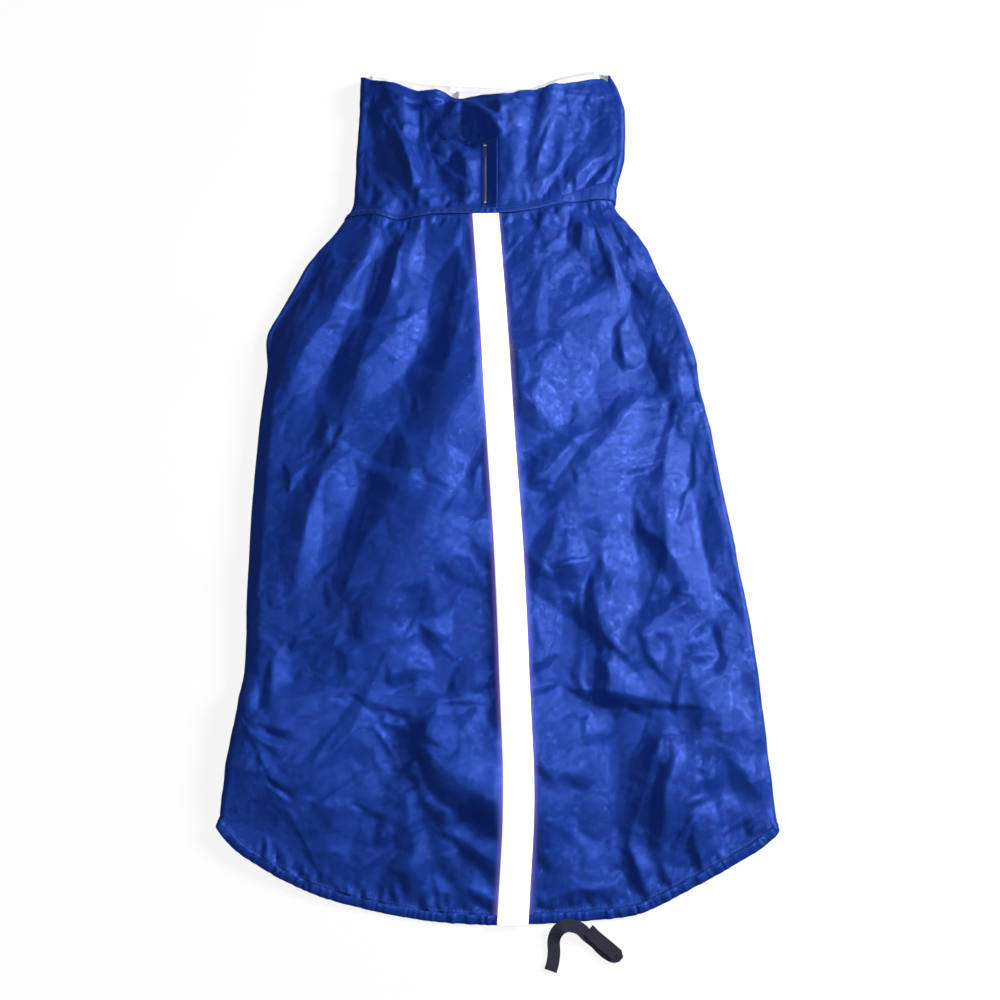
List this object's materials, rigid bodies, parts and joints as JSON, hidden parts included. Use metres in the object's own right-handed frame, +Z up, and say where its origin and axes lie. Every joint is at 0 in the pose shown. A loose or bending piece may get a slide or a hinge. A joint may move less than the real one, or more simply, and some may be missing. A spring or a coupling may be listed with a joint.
{
  "type": "dog raincoat",
  "caption": "Dog raincoat laid flat, back up: tall gathered collar with a leash slit, cape back with a reflective stripe, elasticated curved hem.",
  "frame": {"origin": "middle of the coat's outline on the surface it lies on, without the elastic's loose end", "axes": "+Y from the tail hem towards the collar, +Z up out of the coat's back, +X towards the right edge as seen from above with the collar away from the viewer"},
  "size_m": [0.3677, 0.6769, 0.0301],
  "materials": {
    "shell_nylon": "glossy coated taffeta, royal blue, creased",
    "lining": "matt white lining",
    "reflective_tape": "silver-white glass-bead reflective tape",
    "elastic": "matt black woven flat elastic"
  },
  "bodies": {
    "root": {"back_panel": "shell_nylon", "left_flank": "shell_nylon", "right_flank": "shell_nylon", "left_chest": "shell_nylon", "right_chest": "shell_nylon", "belly_band": "shell_nylon", "collar": "shell_nylon", "neck_band": "shell_nylon", "leash_slit_welt": "shell_nylon", "hem_casing": "shell_nylon", "left_hem_casing": "shell_nylon", "right_hem_casing": "shell_nylon", "left_collar_lining": "lining", "right_collar_lining": "lining", "reflective_tape": "reflective_tape", "hem_elastic": "elastic"}
  },
  "joints": []
}
